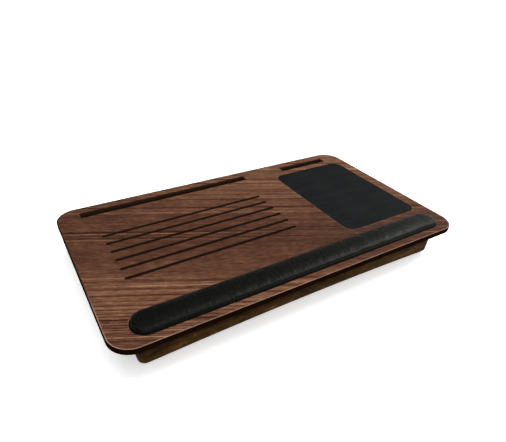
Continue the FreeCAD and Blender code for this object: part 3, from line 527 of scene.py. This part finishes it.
def leatherette(name, pebble, dark, light, gloss, roughness, crease_depth, tucked):
    finish = Finish(name, specular_ior_level=gloss)
    cells = finish.node("ShaderNodeTexVoronoi", {"feature": "SMOOTH_F1"},
                        {"Vector": finish.stretched((pebble, pebble, pebble)), "Scale": 1, "Smoothness": 0.4})
    patches = finish.cloud((0.05, 0.02, 0.02), detail=3)
    crease = finish.rise(finish.cloud((0.0024, 0.014, 0.014), detail=1, shift=8.4), 0.3, 0.7)
    hair = finish.rise(finish.cloud((0.0009, 0.006, 0.006), detail=2, shift=0.6), 0.5, 0.8)
    tone = 0.45 * patches + 0.35 * cells + 0.25 * hair
    height = 1 - 0.6 * cells + crease_depth * crease
    low = 1 - finish.rise(finish.height_of(finish.spot), *TUCKED_BELOW)
    return finish.set(base_color=finish.mix(finish.rise(tone, 0.2, 0.75), dark, light),
                      roughness=roughness + 0.18 * cells - 0.08 * patches + tucked * low,
                      normal=finish.relief(height, 0.00012))


finishes["rest_leatherette"] = leatherette("rest_leatherette", 0.0009, srgb(4, 5, 3), srgb(12, 12, 9),
                                           gloss=0.068, roughness=0.3, crease_depth=2.6, tucked=0.5)
finishes["pad_leatherette"] = leatherette("pad_leatherette", 0.0006, srgb(13, 15, 16), srgb(28, 30, 31),
                                          gloss=0.025, roughness=0.5, crease_depth=0.05, tucked=0)
finishes["leatherette"] = finishes["rest_leatherette"]
print("leatherettes:", [name for name in finishes if name.endswith("_leatherette")])

# %% [markdown]
# ## Foam, felt, rubber and metal
#
# These sit inside or under the stand. Foam is a mass of small open cells, felt a mat of fibres that lie
# in all directions, and rubber is dull with a bloom of dust. The screws are zinc-plated and the
# magnets nickel-plated, so both are metal with fine scratches.

# %% Foam, felt, rubber, steel and magnet
def foam():
    finish = Finish("foam", specular_ior_level=0.1)
    cells = finish.node("ShaderNodeTexVoronoi", {"feature": "F1"},
                        {"Vector": finish.stretched((0.0012, 0.0012, 0.0012)), "Scale": 1})
    return finish.set(base_color=finish.mix(cells, srgb(96, 96, 98), srgb(58, 58, 60)),
                      roughness=0.85 + 0.1 * cells, normal=finish.relief(1 - cells, 0.0004))


def felt():
    finish = Finish("felt", specular_ior_level=0.1, sheen_weight=0.35, sheen_roughness=0.5)
    fibres = [finish.cloud((0.0045, 0.0003, 0.0045), turn=turn, detail=2, shift=turn)
              for turn in (0.2, 1.1, 2.3)]
    mat = (fibres[0] + fibres[1] + fibres[2]) / 3
    patches = finish.cloud((0.02, 0.02, 0.02), detail=2)
    tone = finish.rise(0.8 * mat + 0.2 * patches, 0.4, 0.62)
    return finish.set(base_color=finish.mix(tone, srgb(34, 35, 38), srgb(64, 65, 70)),
                      roughness=0.86 + 0.1 * mat, normal=finish.relief(mat, 0.0005))


def rubber():
    finish = Finish("rubber", specular_ior_level=0.25)
    dust = finish.cloud((0.006, 0.006, 0.006), detail=4, roughness=0.65)
    grit = finish.cloud((0.0005, 0.0005, 0.0005), detail=1)
    return finish.set(base_color=finish.mix(finish.rise(dust, 0.45, 0.8), srgb(24, 24, 25), srgb(52, 51, 50)),
                      roughness=0.7 + 0.15 * dust, normal=finish.relief(grit, 0.00008))


def plated_metal(name, dark, light, roughness):
    finish = Finish(name, metallic=1)
    scratch = finish.cloud((0.004, 0.00015, 0.0004), turn=0.7, detail=2, roughness=0.7)
    stain = finish.cloud((0.002, 0.002, 0.002), detail=3, shift=5.5)
    return finish.set(base_color=finish.mix(0.6 * scratch + 0.4 * stain, dark, light),
                      roughness=roughness + 0.2 * scratch, normal=finish.relief(scratch, 0.00002, 0.0001))


finishes["foam"] = foam()
finishes["felt"] = felt()
finishes["rubber"] = rubber()
finishes["steel"] = plated_metal("zinc_plated_steel", srgb(150, 152, 152), srgb(205, 207, 204), 0.28)
finishes["magnet"] = plated_metal("nickel_plated_magnet", srgb(176, 172, 165), srgb(216, 212, 205), 0.16)
print(len(finishes), "finishes")

# %% [markdown]
# ## Dress the CAD pieces
#
# A CAD node keeps its mesh and only gets a finish. A wooden piece takes the one whose grain runs along
# its longest side, as a joiner would cut it.

# %% Give every node its finish
def longest_axis(node):
    low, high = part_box(node)
    spans = [top - bottom for bottom, top in zip(low, high)]
    return "xyz"[spans.index(max(spans))]


def dress(piece, material):
    piece.data.materials.clear()
    piece.data.materials.append(material)


for name, node in frame["nodes"].items():
    slot = slot_of[name]
    dress(node, finishes.get(slot) or finishes[f"{slot}_{longest_axis(name)}"])
dress(frame["nodes"]["mouse_pad"], finishes["pad_leatherette"])
print("dressed", len(frame["nodes"]), "nodes")

# %% [markdown]
# ## Forms made of rings
#
# The wrist rest and the mouse pad are both low forms whose outline stays parallel to itself as it rises:
# a stadium and a rectangle with round corners. So one function builds both. It takes an outline that can
# be drawn at any inset, and a profile of insets and heights, and joins the rings with quads. An inset as
# large as the form's half width closes it along its spine.

# %% Outlines
def corner_points(centre, radius, first, steps):
    """Points of a quarter turn from the first angle on, in degrees."""
    angles = [math.radians(first + 90 * step / steps) for step in range(steps + 1)]
    return [(centre[0] + radius * math.cos(angle), centre[1] + radius * math.sin(angle)) for angle in angles]


def outline_at(low, high, corner, inset, steps, spacing):
    """A rectangle with round corners, inset by so much, its straight sides cut into equal steps."""
    reach = corner - inset
    hubs = ((high[0] - corner, low[1] + corner, -90), (high[0] - corner, high[1] - corner, 0),
            (low[0] + corner, high[1] - corner, 90), (low[0] + corner, low[1] + corner, 180))
    arcs = [corner_points((x, y), reach, first, steps) for x, y, first in hubs]
    lengths = (high[1] - low[1] - 2 * corner, high[0] - low[0] - 2 * corner) * 2
    points = []
    for arc, after, length in zip(arcs, arcs[1:] + arcs[:1], lengths):
        cuts = max(1, round(length / spacing))
        points += arc
        points += [tuple(a + (b - a) * cut / cuts for a, b in zip(arc[-1], after[0]))
                   for cut in range(1, cuts)]
    return points


# %% Rings
def join_rings(form, lower, upper):
    """Quads between two rings of as many points."""
    for here in range(len(lower)):
        after = (here + 1) % len(lower)
        form.faces.new((lower[here], lower[after], upper[after], upper[here]))


def join_to_point(form, ring, point):
    """Triangles from a ring to one point."""
    for here in range(len(ring)):
        form.faces.new((ring[here], ring[(here + 1) % len(ring)], point))


def ring_form(name, low, high, corner, profile, steps, spacing, closed_on_spine):
    """A closed mesh whose rings follow the profile of (inset, height)."""
    form = bmesh.new()
    outlines = [(outline_at(low, high, corner, inset, steps, spacing), height) for inset, height in profile]
    rings = [[form.verts.new((x, y, height)) for x, y in outline] for outline, height in outlines]
    for lower, upper in zip(rings, rings[1:]):
        join_rings(form, lower, upper)
    if not closed_on_spine:
        form.faces.new(rings[-1])
        form.faces.new(list(reversed(rings[0])))
    bmesh.ops.remove_doubles(form, verts=form.verts, dist=1e-6)
    bmesh.ops.dissolve_degenerate(form, edges=form.edges, dist=1e-7)
    bmesh.ops.recalc_face_normals(form, faces=form.faces)
    return finished(name, form)


# %% From a form to a piece of the stand
def finished(name, form):
    """Turns a bmesh into a smooth object of the scene."""
    mesh = bpy.data.meshes.new(name)
    form.to_mesh(mesh)
    form.free()
    mesh.polygons.foreach_set("use_smooth", [True] * len(mesh.polygons))
    piece = bpy.data.objects.new(name, mesh)
    bpy.context.collection.objects.link(piece)
    return piece


def stand_for(piece, node, material):
    """The piece takes a CAD node's place and its body, and is dressed in the given finish."""
    dress(piece, material)
    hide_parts(node)
    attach(piece, body_of[node])
    return piece


# %% [markdown]
# ## The wrist rest
#
# Leatherette is drawn over a strip of foam and tucked under a stiff backing. It stands a little proud of
# the board, has full shoulders, and is slightly slack, so it swells between its edges and puckers there.
# The form starts a little smaller than the real one. Blender's Cloth then swells it with the lower edge
# held, and a cap on how far a point may go keeps it in its recess.

# %% Shape the wrist rest
REST_START_INSET = 0.0003
REST_START_DROP = 0.0004
REST_LOWER_ROUND = 0.0006
REST_UPRIGHT = 0.0029
REST_SHOULDER = 0.006


def crown_profile(half_width, low, edge, top, shoulder, shoulder_steps, crown_steps):
    """Insets and heights from under the rest, up its side, over the shoulder and on to the spine."""
    rise, reach = top - edge, half_width - shoulder
    crown = (reach ** 2 + rise ** 2 - shoulder ** 2) / (2 * (rise - shoulder))
    lean = math.atan2(reach, crown - rise)
    profile = [(half_width * share, low) for share in (1, 0.6, 0.25)]
    profile += [(REST_LOWER_ROUND, low), (0, low + REST_LOWER_ROUND)]
    profile += [(0, low + (edge - low) * share) for share in (0.4, 0.7)]
    for step in range(shoulder_steps + 1):
        angle = (math.pi / 2 - lean) * step / shoulder_steps
        profile.append((shoulder - shoulder * math.cos(angle), edge + shoulder * math.sin(angle)))
    for step in range(1, crown_steps + 1):
        angle = lean * (1 - step / crown_steps)
        profile.append((half_width - crown * math.sin(angle), top - crown + crown * math.cos(angle)))
    return profile


rest_low, rest_high = (Vector(corner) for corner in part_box("wrist_rest_cover"))
board_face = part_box("top_veneer")[1][2]
rest_half = (rest_high.y - rest_low.y) / 2 - REST_START_INSET
rest_profile = crown_profile(rest_half, rest_low.z, rest_low.z + REST_UPRIGHT, rest_high.z - REST_START_DROP,
                             REST_SHOULDER, shoulder_steps=5, crown_steps=9)
inward = Vector((REST_START_INSET, REST_START_INSET, 0))
wrist_rest = ring_form("wrist_rest_padding", rest_low + inward, rest_high - inward, rest_half, rest_profile,
                       steps=9, spacing=0.0028, closed_on_spine=True)
print("wrist rest:", len(wrist_rest.data.vertices), "points")

# %% Swell it with Cloth
REST_CLOTH = {"quality": 6, "mass": 0.15, "tension_stiffness": 12, "compression_stiffness": 12,
              "shear_stiffness": 4, "bending_stiffness": 0.05, "use_pressure": True,
              "uniform_pressure_force": 4, "shrink_min": -0.035}
REST_FRAMES = 20
REST_CAP = 0.0004
REST_SINK = 0.00025


def swell(piece, held_below, settings, frames, cap, sink):
    """Lets Cloth swell a piece whose points below a height stay put: out by no more than the cap, and in by
    no more than the sink."""
    start = [point.co.copy() for point in piece.data.vertices]
    outward = [point.normal.copy() for point in piece.data.vertices]
    held = piece.vertex_groups.new(name="held")
    held.add([n for n, place in enumerate(start) if place.z < held_below], 1, "REPLACE")
    cloth = piece.modifiers.new("swell", "CLOTH")
    for name, value in settings.items():
        setattr(cloth.settings, name, value)
    cloth.settings.vertex_group_mass = "held"
    cloth.settings.effector_weights.gravity = 0
    cloth.point_cache.frame_end = frames
    for step in range(1, frames + 1):
        bpy.context.scene.frame_set(step)
    swollen = piece.evaluated_get(bpy.context.evaluated_depsgraph_get()).to_mesh()
    moves = [point.co - place for point, place in zip(swollen.vertices, start)]
    piece.modifiers.remove(cloth)
    bpy.context.scene.frame_set(1)
    for point, place, normal, move in zip(piece.data.vertices, start, outward, moves):
        move = move * min(1, cap / max(move.length, 1e-9))
        point.co = place + move + normal * max(0, -sink - move.dot(normal))
    return max(move.length for move in moves)


furthest = swell(wrist_rest, board_face, REST_CLOTH, REST_FRAMES, REST_CAP, REST_SINK)
print(f"Cloth moved a point by up to {furthest * 1000:.2f} mm before the cap")
wrist_rest.modifiers.new("smooth", "SUBSURF").render_levels = 1
stand_for(wrist_rest, "wrist_rest_cover", finishes["rest_leatherette"])

# %% [markdown]
# ## The mouse pad
#
# The mouse pad lies in its recess, almost flush with the veneer. It is a thin firm sheet, cut with a
# slightly rolled edge, which shows as a fine line of light at the recess. It is a form of rings too, with
# a flat middle.

# %% Mouse pad
PAD_ROLL = 0.0007
PAD_LOWER_ROUND = 0.0002

pad_low, pad_high = (Vector(corner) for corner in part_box("mouse_pad"))
roll = [(PAD_ROLL * (1 - math.cos(angle)), pad_high.z - PAD_ROLL * (1 - math.sin(angle)))
        for angle in (math.radians(15 * step) for step in range(7))]
lower_edge = [(PAD_LOWER_ROUND, pad_low.z), (0, pad_low.z + PAD_LOWER_ROUND)]
mouse_pad = ring_form("mouse_pad_sheet", pad_low, pad_high, PAD_CORNER,
                      lower_edge + roll + [(PAD_ROLL * 3, pad_high.z)], steps=12, spacing=0.01,
                      closed_on_spine=False)
stand_for(mouse_pad, "mouse_pad", finishes["pad_leatherette"])
print("mouse pad:", len(mouse_pad.data.vertices), "points")

# %% [markdown]
# ## Islands of a node
#
# Some CAD nodes hold several solids: the two pieces of felt, and each set of screws. Their meshes come
# as one object, so the next pieces need them apart. Faces that share a corner belong to one island.

# %% Find the islands
def islands(node):
    """The corner points of each separate solid of a node."""
    form = bmesh.new()
    form.from_mesh(frame["nodes"][node].data)
    bmesh.ops.remove_doubles(form, verts=form.verts, dist=1e-6)
    left, found = set(form.verts), []
    while left:
        seeds, island = [left.pop()], []
        while seeds:
            point = seeds.pop()
            island.append(point.co.copy())
            near = {edge.other_vert(point) for edge in point.link_edges} & left
            left -= near
            seeds += near
        found.append(island)
    form.free()

    def rounded_middle(island):
        return tuple(round(part, 4) for part in sum(island, Vector()) / len(island))

    return sorted(found, key=rounded_middle)


def extent(points):
    """The lowest and highest corner of some points."""
    return (Vector(min(point[axis] for point in points) for axis in range(3)),
            Vector(max(point[axis] for point in points) for axis in range(3)))


print("the felt has", len(islands("drawer_liner")), "pieces")

# %% [markdown]
# ## The drawer's felt
#
# A sheet of felt is glued to the bottom of the drawer on each side of the divider. Its face is never
# quite even, and its cut edge is soft. So each sheet is a fine grid, lifted a little here and there by
# smooth noise, with its rim pressed down, and given a back and sides.

# %% Felt sheets
FELT_CELL = 0.004
FELT_WAVE = 0.00025
FELT_WAVES_PER_METRE = 45
FELT_RIM_PRESSED = 0.0005


def felt_layers(form, low, high, columns, rows):
    """The points of a sheet's uneven face and of its flat back."""
    def layer(height_at):
        return [[form.verts.new((low.x + (high.x - low.x) * i / columns,
                                 low.y + (high.y - low.y) * j / rows, height_at(i, j)))
                 for j in range(rows + 1)] for i in range(columns + 1)]

    def face_height(i, j):
        if i in (0, columns) or j in (0, rows):
            return high.z - FELT_RIM_PRESSED
        spot = Vector((i * FELT_CELL * FELT_WAVES_PER_METRE, j * FELT_CELL * FELT_WAVES_PER_METRE, low.x))
        return high.z - FELT_WAVE * (1 + noise.noise(spot)) / 2

    return layer(face_height), layer(lambda i, j: low.z)


def felt_sheet(name, low, high):
    """A thin grid with an uneven face and a rim that is pressed down."""
    columns, rows = (round((high[axis] - low[axis]) / FELT_CELL) for axis in (0, 1))
    form = bmesh.new()
    top, bottom = felt_layers(form, low, high, columns, rows)
    for i in range(columns):
        for j in range(rows):
            form.faces.new((top[i][j], top[i + 1][j], top[i + 1][j + 1], top[i][j + 1]))
            form.faces.new((bottom[i][j], bottom[i][j + 1], bottom[i + 1][j + 1], bottom[i + 1][j]))
    for i in range(columns):
        for j in (0, rows):
            form.faces.new((top[i][j], top[i + 1][j], bottom[i + 1][j], bottom[i][j]))
    for j in range(rows):
        for i in (0, columns):
            form.faces.new((top[i][j], top[i][j + 1], bottom[i][j + 1], bottom[i][j]))
    bmesh.ops.recalc_face_normals(form, faces=form.faces)
    return finished(name, form)


for side, island in zip(("left", "right"), islands("drawer_liner")):
    low, high = extent(island)
    sheet = stand_for(felt_sheet(f"drawer_felt_{side}", low, high), "drawer_liner", finishes["felt"])
    print(f"{side} felt: {(high.x - low.x) * 1000:.0f} x {(high.y - low.y) * 1000:.0f} mm")

# %% [markdown]
# ## Screws
#
# The CAD screws are plain cones and pins. The real ones have a cross recess and a thread. A screw here is
# drawn upright with its head at the origin, and then turned into each CAD screw's place, which its island
# tells: the longest side is the axis, and the wide end is the head. The thread is a ridge that climbs
# once round for each pitch.

# %% Draw one screw
HEAD_RADIUS = 0.0029
SHANK_RADIUS = 0.0015
HEAD_HEIGHT = 0.0017
FACE_RADIUS = HEAD_RADIUS * 0.97
FACE_ROUND = HEAD_HEIGHT * 0.08
CROSS_MOUTH = (HEAD_RADIUS * 0.6, HEAD_RADIUS * 0.14)
CROSS_FLOOR = (HEAD_RADIUS * 0.3, HEAD_RADIUS * 0.07)
CROSS_DEPTH = HEAD_HEIGHT * 0.8
THREAD_PITCH = 0.0014
THREAD_DEPTH = 0.00035
RINGS_PER_TURN = 4
TIP_RINGS, TIP_SHARE = 8, 0.25
ROUND_STEPS = 16


def circle(form, radius, height, steps=ROUND_STEPS):
    turns = (math.tau * step / steps for step in range(steps))
    return [form.verts.new((radius * math.cos(turn), radius * math.sin(turn), height)) for turn in turns]


def cross_outline(form, reach, arm, height):
    """The twelve corners of a cross recess."""
    corners = []
    for quarter in range(4):
        turn = Matrix.Rotation(math.tau * quarter / 4, 3, "Z")
        corners += [turn @ Vector(corner) for corner in ((arm, -arm, 0), (reach, -arm, 0), (reach, arm, 0))]
    return [form.verts.new(corner + Vector((0, 0, height))) for corner in corners]


def add_head_face(form):
    """The head's flat face with its cross recess. Gives the rim of the face."""
    rim = circle(form, FACE_RADIUS, 0)
    mouth = cross_outline(form, *CROSS_MOUTH, 0)
    floor = cross_outline(form, *CROSS_FLOOR, CROSS_DEPTH)
    join_rings(form, mouth, floor)
    form.faces.new(floor)
    edges = [form.edges.get((ring[n], ring[n - 1])) or form.edges.new((ring[n], ring[n - 1]))
             for ring in (rim, mouth) for n in range(len(ring))]
    bmesh.ops.triangle_fill(form, edges=edges, use_beauty=True)
    return rim


def thread_rings(form, length):
    """Rings down the shank, where a ridge climbs once round for each pitch and the tip tapers."""
    count = int((length - HEAD_HEIGHT) / (THREAD_PITCH / RINGS_PER_TURN)) - 2
    rings = []
    for step in range(1, count + 1):
        taper = min(1, (count - step) / TIP_RINGS + TIP_SHARE)
        ring = circle(form, SHANK_RADIUS * taper, HEAD_HEIGHT + step * THREAD_PITCH / RINGS_PER_TURN)
        for number, point in enumerate(ring):
            climb = (step / RINGS_PER_TURN - number / ROUND_STEPS) % 1
            core = 1 - THREAD_DEPTH / SHANK_RADIUS * min(1, 2 * min(climb, 1 - climb))
            point.co.x *= core
            point.co.y *= core
        rings.append(ring)
    return rings


def add_screw(form, length):
    """One screw along +Z, its head's face at the origin. Gives its points."""
    first = len(form.verts)
    rings = [add_head_face(form)]
    rings += [circle(form, HEAD_RADIUS, FACE_ROUND), circle(form, SHANK_RADIUS, HEAD_HEIGHT)]
    rings += thread_rings(form, length)
    for lower, upper in zip(rings, rings[1:]):
        join_rings(form, lower, upper)
    join_to_point(form, rings[-1], form.verts.new((0, 0, length)))
    form.verts.ensure_lookup_table()
    return form.verts[first:]


# %% Put a screw in each place
TURNED_APART = 0.7


def way_of(island):
    """Where a CAD screw's head is, its direction and its length."""
    low, high = extent(island)
    spans = high - low
    axis = max(range(3), key=lambda n: spans[n])
    middle = (low + high) / 2
    others = [n for n in range(3) if n != axis]

    def girth(end):
        return max(math.hypot(*(point[n] - middle[n] for n in others))
                   for point in island if abs(point[axis] - end[axis]) < 1e-5)

    head, tip = (low, high) if girth(low) > girth(high) else (high, low)
    start, direction = middle.copy(), Vector((0, 0, 0))
    start[axis] = head[axis]
    direction[axis] = math.copysign(1, tip[axis] - head[axis])
    return start, direction, spans[axis]


def screw_set(node):
    """Puts a screw in the place of each solid of a node. Gives how many there are."""
    form = bmesh.new()
    places = islands(node)
    for number, island in enumerate(places):
        start, direction, length = way_of(island)
        turn = direction.to_track_quat("Z", "Y").to_matrix().to_4x4()
        turn = turn @ Matrix.Rotation(TURNED_APART * number, 4, "Z")
        bmesh.ops.transform(form, verts=add_screw(form, length), matrix=Matrix.Translation(start) @ turn)
    bmesh.ops.recalc_face_normals(form, faces=form.faces)
    piece = finished(f"threaded_{node}", form)
    piece.data.polygons.foreach_set("use_smooth", [False] * len(piece.data.polygons))
    stand_for(piece, node, finishes["steel"])
    return len(places)


screw_nodes = [name for name in frame["nodes"] if name.endswith("_screws")]
print("screws made:", {name: screw_set(name) for name in screw_nodes})

# %% [markdown]
# ## Feet
#
# A rubber foot is a moulded disc with a round rim and a shallow hollow in the middle of its face. Turned
# profiles like this one are made by drawing half the section and joining a circle for each of its points.

# %% Rubber feet
FOOT_SECTION = ((0.0, 0.0004), (0.45, 0.0004), (0.52, 0.0), (0.86, 0.0), (0.95, 0.0002), (1.0, 0.0008),
                (0.98, 0.0018), (0.94, 0.002), (0.0, 0.002))


def turned(name, centre, radius, section, steps):
    """A closed form round the vertical. Its section gives shares of the radius, with their heights."""
    form = bmesh.new()
    rings = [circle(form, radius * share, height, steps) if share else [form.verts.new((0, 0, height))]
             for share, height in section]
    for lower, upper in zip(rings, rings[1:]):
        if len(lower) == len(upper):
            join_rings(form, lower, upper)
            continue
        hub, ring = (lower[0], upper) if len(lower) == 1 else (upper[0], lower)
        join_to_point(form, ring, hub)
    bmesh.ops.translate(form, verts=form.verts, vec=centre)
    bmesh.ops.recalc_face_normals(form, faces=form.faces)
    return finished(name, form)


for foot in ("front_left_foot", "front_right_foot", "back_left_foot", "back_right_foot"):
    low, high = (Vector(corner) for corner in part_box(foot))
    centre = Vector(((low.x + high.x) / 2, (low.y + high.y) / 2, low.z))
    moulded = turned(f"moulded_{foot}", centre, (high.x - low.x) / 2, FOOT_SECTION, steps=40)
    stand_for(moulded, foot, finishes["rubber"])
print("four feet made")

# %% [markdown]
# ## The floor
#
# The floor is a wide pale sheet that the object stands on, and isn't part of it. It glows a little, which
# keeps it nearly white in the object's shadow.

# %% Floor
FLOOR_REACH = 6
FLOOR_DROP = 0.0002
FLOOR_GLOW = 0.45


def pale_floor():
    finish = Finish("pale_floor", specular_ior_level=0.1, emission_color=(1, 1, 1, 1),
                    emission_strength=FLOOR_GLOW)
    grain = finish.cloud((0.3, 0.3, 0.3), detail=2)
    return finish.set(base_color=finish.mix(grain, srgb(246, 246, 246), srgb(250, 250, 250)),
                      roughness=0.85 + 0.05 * grain)


form = bmesh.new()
form.faces.new([form.verts.new((x * FLOOR_REACH, y * FLOOR_REACH, -FLOOR_DROP))
                for x, y in ((-1, -1), (1, -1), (1, 1), (-1, 1))])
floor = finished("floor", form)
dress(floor, pale_floor())
print("the floor reaches", FLOOR_REACH, "m to each side")
